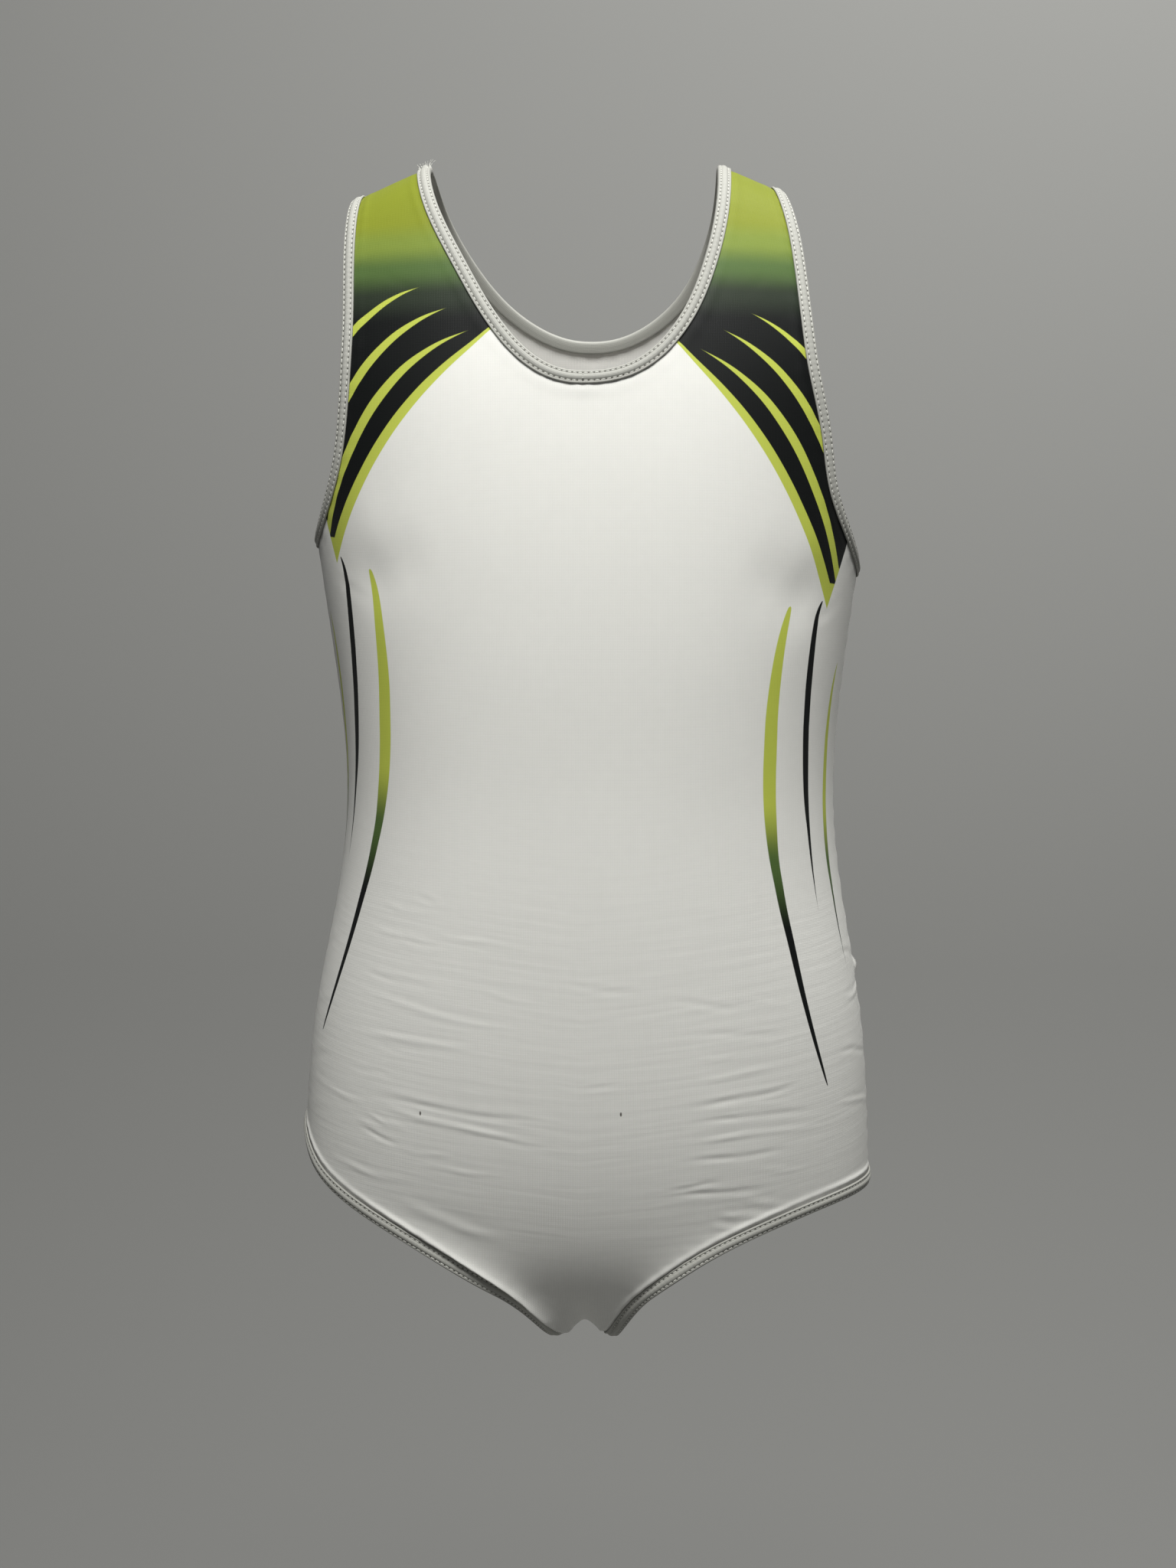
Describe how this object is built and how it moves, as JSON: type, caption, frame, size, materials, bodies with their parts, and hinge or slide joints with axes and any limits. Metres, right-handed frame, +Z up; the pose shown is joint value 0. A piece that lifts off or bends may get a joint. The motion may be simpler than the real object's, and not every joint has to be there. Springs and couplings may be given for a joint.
{
  "type": "sleeveless leotard",
  "caption": "Child's sleeveless stretch leotard in its worn form: scoop neck, tank straps, deep armholes, low leg openings and bound edges.",
  "frame": {"origin": "between the two shoulder straps, at the height where a wearer's shoulders carry them, in the plane of the shoulder and side seams", "axes": "+Z up, the garment's front faces -Y, +X is the wearer's left"},
  "size_m": [0.2612, 0.1657, 0.5317],
  "materials": {
    "printed_knit": "soft satin stretch knit, white with a printed yoke and, on the front, printed side stripes",
    "binding_knit": "matte stretch knit, folded and coverstitched"
  },
  "bodies": {
    "root": {"front_panel": "printed_knit", "back_panel": "printed_knit", "neck_binding": "binding_knit", "armhole_binding_left": "binding_knit", "armhole_binding_right": "binding_knit", "leg_binding_left": "binding_knit", "leg_binding_right": "binding_knit"}
  },
  "joints": []
}
